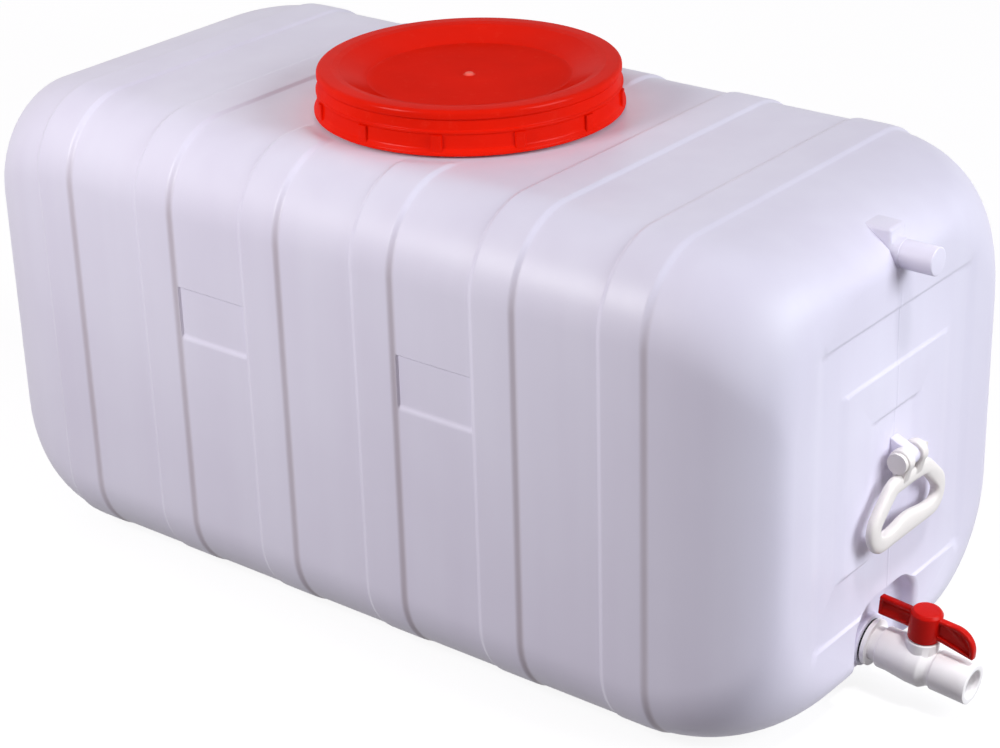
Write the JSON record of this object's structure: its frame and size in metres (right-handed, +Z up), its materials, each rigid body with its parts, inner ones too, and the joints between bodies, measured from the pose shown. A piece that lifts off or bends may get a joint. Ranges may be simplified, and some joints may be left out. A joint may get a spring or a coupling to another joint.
{
  "type": "fresh water tank",
  "caption": "Long ribbed plastic tank lying on its flat side, with a dished screw lid on top, a ball valve low on one end and a swinging loop handle on each end.",
  "frame": {"origin": "centre of the tank's flat underside, on the floor", "axes": "+X along the tank towards the end with the valve, +Z up, -Y the long side with the label pockets"},
  "size_m": [0.9887, 0.434, 0.486],
  "materials": {
    "tank_plastic": "satin, slightly milky",
    "lid_plastic": "semi-gloss",
    "handle_plastic": "gloss",
    "valve_pvc": "semi-gloss",
    "loop_plastic": "satin",
    "seal_rubber": "matt",
    "seat_plastic": "matt"
  },
  "bodies": {
    "tank": {"tank_shell": "tank_plastic", "handle_pin_tap_end": "loop_plastic", "handle_pin_far_end": "loop_plastic", "pin_nut_tap_end": "loop_plastic", "pin_nut_far_end": "loop_plastic", "tap_nipple": "valve_pvc", "tap_gasket_outer": "seal_rubber", "tap_gasket_inner": "seal_rubber", "tap_lock_nut": "valve_pvc", "valve_body": "valve_pvc", "valve_seat_carrier": "valve_pvc", "carrier_oring": "seal_rubber", "stem_oring": "seal_rubber", "ball_seat_inlet": "seat_plastic", "ball_seat_outlet": "seat_plastic"},
    "lid_seal": {"lid_gasket": "seal_rubber"},
    "lid": {"lid": "lid_plastic"},
    "valve_key": {"valve_handle": "handle_plastic", "valve_stem": "valve_pvc", "valve_ball": "valve_pvc"},
    "loop_tap_end": {"carry_handle_tap_end": "loop_plastic"},
    "loop_far_end": {"carry_handle_far_end": "loop_plastic"}
  },
  "joints": [
    {"name": "lid_lift", "type": "slide", "parent": "tank", "child": "lid_seal", "axis": [0, 0, 1], "range_m": [0, 0.016]},
    {"name": "lid_turn", "type": "hinge", "parent": "lid_seal", "child": "lid", "pos_m": [0, 0, 0.466], "axis": [0, 0, 1], "range_deg": [0, 720]},
    {"name": "valve_turn", "type": "hinge", "parent": "tank", "child": "valve_key", "pos_m": [0.47331, 0, 0.03869], "axis": [-0.0872, 0, -0.9962], "range_deg": [0, 90]},
    {"name": "loop_swing_tap_end", "type": "hinge", "parent": "tank", "child": "loop_tap_end", "pos_m": [0.453, 0, 0.229], "axis": [0, -1, 0], "range_deg": [0, 115]},
    {"name": "loop_swing_far_end", "type": "hinge", "parent": "tank", "child": "loop_far_end", "pos_m": [-0.453, 0, 0.229], "axis": [0, 1, 0], "range_deg": [0, 115]}
  ],
  "couplings": [
    {"joint": "lid_lift", "follows": "lid_turn", "m_per_rad": 0.0012732}
  ]
}
